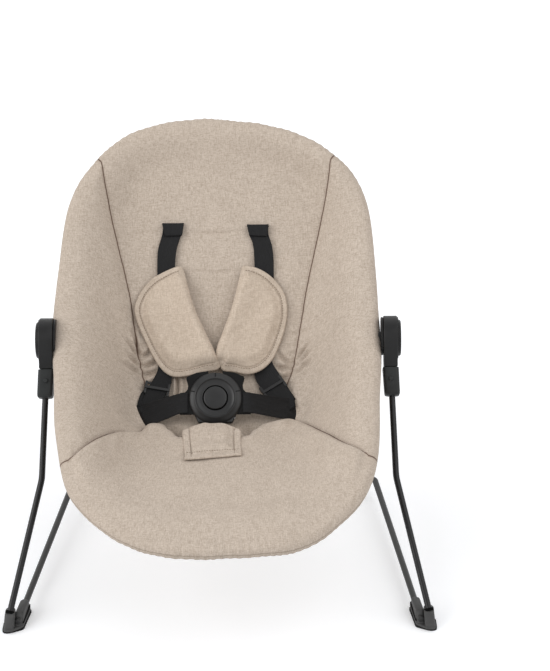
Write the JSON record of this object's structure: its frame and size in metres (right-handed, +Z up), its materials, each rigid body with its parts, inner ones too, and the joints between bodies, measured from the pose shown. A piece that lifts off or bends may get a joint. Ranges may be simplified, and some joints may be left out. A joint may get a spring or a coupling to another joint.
{
  "type": "newborn bouncer seat",
  "caption": "Padded newborn seat in a bent hoop, held by reclining adapters that plug into a low sprung wire frame with moulded feet and a five-point harness.",
  "frame": {"origin": "middle of the bounding box on the floor", "axes": "+X to the side, -Y to the front of the seat, +Z up"},
  "size_m": [0.5444, 0.5706, 0.4898],
  "materials": {
    "fabric": "beige melange linen weave",
    "webbing": "black woven webbing",
    "plastic": "satin black",
    "rod": "satin black powder coat on steel",
    "rubber": "soft black",
    "steel": "bright"
  },
  "bodies": {
    "base": {"floor_bar": "rod", "left_front_foot": "plastic", "left_foot_pad": "rubber", "left_rear_sleeve": "rubber", "right_front_foot": "plastic", "right_foot_pad": "rubber", "right_rear_sleeve": "rubber"},
    "legs": {"left_leg_rod": "rod", "left_leg_socket": "plastic", "left_leg_pin": "steel", "right_leg_rod": "rod", "right_leg_socket": "plastic", "right_leg_pin": "steel"},
    "left_catch": {"left_catch_button": "plastic"},
    "right_catch": {"right_catch_button": "plastic"},
    "carrier": {"left_adapter_housing": "plastic", "left_button_spring": "steel", "right_adapter_housing": "plastic", "right_button_spring": "steel"},
    "left_recline": {"left_recline_button": "plastic"},
    "right_recline": {"right_recline_button": "plastic"},
    "buckle_press_button": {"buckle_button": "plastic"},
    "left_tongue": {"left_buckle_tongue": "plastic"},
    "right_tongue": {"right_buckle_tongue": "plastic"},
    "seat": {"buckle_body": "plastic", "buckle_spring": "steel", "crotch_keeper": "plastic", "crotch_pad": "fabric", "crotch_pin": "steel", "crotch_strap": "webbing", "left_hub_bracket": "plastic", "left_lock_disc": "steel", "left_pivot_bolt": "steel", "left_shoulder_keeper": "plastic", "left_shoulder_pad": "fabric", "left_shoulder_strap": "webbing", "left_strap_adjuster": "plastic", "left_waist_keeper": "plastic", "left_waist_strap": "webbing", "right_hub_bracket": "plastic", "right_lock_disc": "steel", "right_pivot_bolt": "steel", "right_shoulder_keeper": "plastic", "right_shoulder_pad": "fabric", "right_shoulder_strap": "webbing", "right_strap_adjuster": "plastic", "right_waist_keeper": "plastic", "right_waist_strap": "webbing", "seat_cover": "fabric", "seat_hoop": "rod"}
  },
  "joints": [
    {"name": "bounce", "type": "hinge", "parent": "base", "child": "legs", "pos_m": [0, -0.19039, 0.01], "axis": [1, 0, 0], "range_deg": [-3, 3], "stiffness_Nm_per_rad": 120, "springref_deg": 2.86},
    {"name": "left_catch_press", "type": "slide", "parent": "legs", "child": "left_catch", "axis": [0, 0.809, -0.5878], "range_m": [0, 0.0018], "stiffness_N_per_m": 700, "springref_m": -0.001},
    {"name": "right_catch_press", "type": "slide", "parent": "legs", "child": "right_catch", "axis": [0, 0.809, -0.5878], "range_m": [0, 0.0018], "stiffness_N_per_m": 700, "springref_m": -0.001},
    {"name": "seat_lift_off", "type": "slide", "parent": "legs", "child": "carrier", "axis": [0, 0.5878, 0.809], "range_m": [0, 0.03]},
    {"name": "left_recline_press", "type": "slide", "parent": "carrier", "child": "left_recline", "axis": [1, 0, 0], "range_m": [0, 0.004], "stiffness_N_per_m": 900, "springref_m": -0.001, "deforming": ["left_button_spring"]},
    {"name": "right_recline_press", "type": "slide", "parent": "carrier", "child": "right_recline", "axis": [-1, 0, 0], "range_m": [0, 0.004], "stiffness_N_per_m": 900, "springref_m": -0.001, "deforming": ["right_button_spring"]},
    {"name": "seat_recline", "type": "hinge", "parent": "carrier", "child": "seat", "pos_m": [0, 0.02031, 0.3], "axis": [1, 0, 0], "range_deg": [-20, 15]},
    {"name": "buckle_press", "type": "slide", "parent": "seat", "child": "buckle_press_button", "axis": [0, 0.7431, -0.6691], "range_m": [0, 0.003], "stiffness_N_per_m": 900, "springref_m": -0.001, "deforming": ["buckle_spring"]},
    {"name": "left_tongue_release", "type": "slide", "parent": "seat", "child": "left_tongue", "axis": [-1, 0, 0], "range_m": [0, 0.012], "deforming": ["left_waist_strap"]},
    {"name": "right_tongue_release", "type": "slide", "parent": "seat", "child": "right_tongue", "axis": [1, 0, 0], "range_m": [0, 0.012], "deforming": ["right_waist_strap"]}
  ]
}
